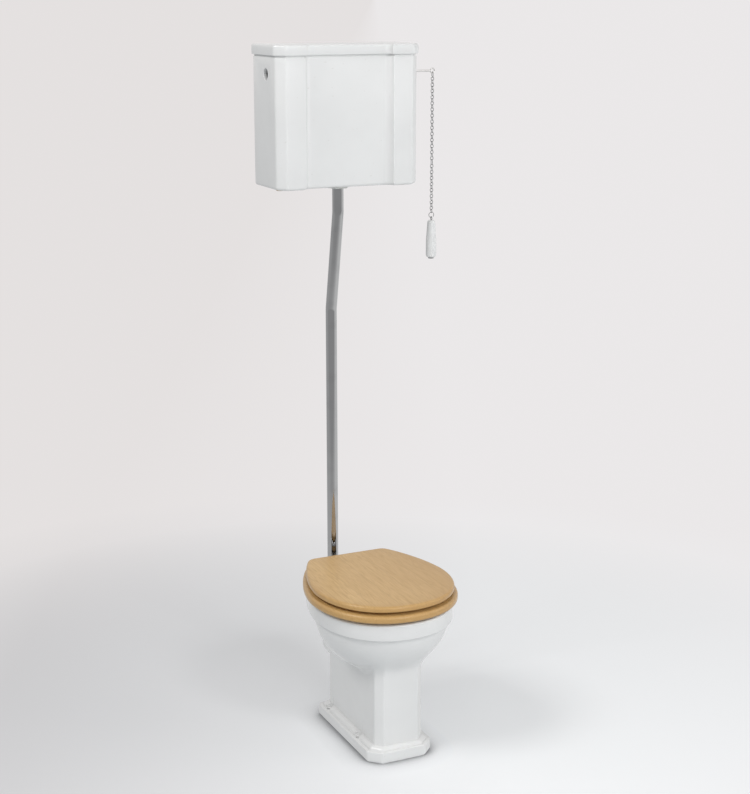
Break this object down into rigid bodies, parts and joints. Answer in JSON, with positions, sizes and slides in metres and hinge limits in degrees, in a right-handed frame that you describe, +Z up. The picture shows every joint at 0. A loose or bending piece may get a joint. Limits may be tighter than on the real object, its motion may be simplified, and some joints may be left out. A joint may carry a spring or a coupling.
{
  "type": "high tank pull chain toilet",
  "caption": "High tank toilet: china pan with a wooden seat and lid, wall-hung china tank, bent flush pipe, and a chain and handle that work the flush.",
  "frame": {"origin": "middle of the four floor screw holes, on the floor", "axes": "+Z up, +Y towards the wall, +X to the right of someone who faces the toilet"},
  "size_m": [0.4886, 0.5608, 1.8091],
  "materials": {
    "china": "glossy glaze",
    "oak": "clear satin varnish",
    "chrome": "polished",
    "brass": "satin",
    "black_rubber": "matt",
    "white_plastic": "moulded"
  },
  "bodies": {
    "toilet": {"pan_foot": "china", "pan_bowl": "china", "pan_rim": "china", "pan_trap": "china", "flush_cone": "black_rubber", "lower_flush_pipe": "chrome", "pipe_sleeve": "brass", "upper_flush_pipe": "chrome", "tank": "china", "siphon": "white_plastic", "siphon_washer": "black_rubber", "siphon_nut": "white_plastic", "lever_bush": "chrome", "lever_pin": "chrome", "valve_body": "brass", "valve_washer": "black_rubber", "valve_nut": "brass", "fill_tube": "white_plastic", "float_pin": "brass", "hinge_pillars": "chrome", "hinge_bar": "chrome", "bar_caps": "chrome", "fixing_studs": "brass", "stud_washers": "black_rubber", "wing_nuts": "brass"},
    "tank_cover": {"tank_lid": "china"},
    "seat": {"seat_ring": "oak", "ring_buffers": "black_rubber", "ring_straps": "chrome"},
    "lid": {"seat_lid": "oak", "lid_buffers": "black_rubber", "lid_straps": "chrome"},
    "pull_lever": {"lever": "chrome"},
    "lift": {"lift_rod": "brass", "lift_loop": "brass", "plunger_plate": "brass", "diaphragm": "black_rubber"},
    "hanger": {"chain_hanger": "chrome"},
    "chain": {"upper_chain": "chrome", "joining_link": "chrome", "lower_chain": "chrome"},
    "handle": {"pull_ring": "chrome", "handle_rod": "chrome", "pull_handle": "china", "handle_nut": "chrome"},
    "float": {"float_arm": "brass", "float_ball": "white_plastic"}
  },
  "joints": [
    {"name": "tank_lid_lift", "type": "slide", "parent": "toilet", "child": "tank_cover", "axis": [0, 0, 1], "range_m": [0, 0.12]},
    {"name": "lid_hinge", "type": "hinge", "parent": "toilet", "child": "lid", "pos_m": [0, 0.169, 0.4315], "axis": [-1, 0, 0], "range_deg": [0, 93]},
    {"name": "seat_hinge", "type": "hinge", "parent": "toilet", "child": "seat", "pos_m": [0, 0.169, 0.4315], "axis": [-1, 0, 0], "range_deg": [0, 93]},
    {"name": "lever_pivot", "type": "hinge", "parent": "toilet", "child": "pull_lever", "pos_m": [0.192, 0.194, 1.736], "axis": [0, 1, 0], "range_deg": [0, 16]},
    {"name": "plunger_lift", "type": "slide", "parent": "toilet", "child": "lift", "axis": [0, 0, 1], "range_m": [0, 0.0365]},
    {"name": "hanger_tilt", "type": "hinge", "parent": "pull_lever", "child": "hanger", "pos_m": [0.2735, 0.194, 1.736], "axis": [0, 1, 0], "range_deg": [-16, 0]},
    {"name": "chain_swing", "type": "hinge", "parent": "hanger", "child": "chain", "pos_m": [0.2735, 0.194, 1.71805], "axis": [0, 1, 0], "range_deg": [-12, 12]},
    {"name": "handle_swing", "type": "hinge", "parent": "chain", "child": "handle", "pos_m": [0.2735, 0.194, 1.36115], "axis": [0, 1, 0], "range_deg": [-20, 20]},
    {"name": "float_rise", "type": "hinge", "parent": "toilet", "child": "float", "pos_m": [-0.126, 0.232, 1.688], "axis": [0, -1, 0], "range_deg": [0, 30]}
  ],
  "couplings": [
    {"joint": "seat_hinge", "follows": "lid_hinge", "ratio": 1},
    {"joint": "plunger_lift", "follows": "lever_pivot", "m_per_rad": 0.1295},
    {"joint": "hanger_tilt", "follows": "lever_pivot", "ratio": -1}
  ]
}
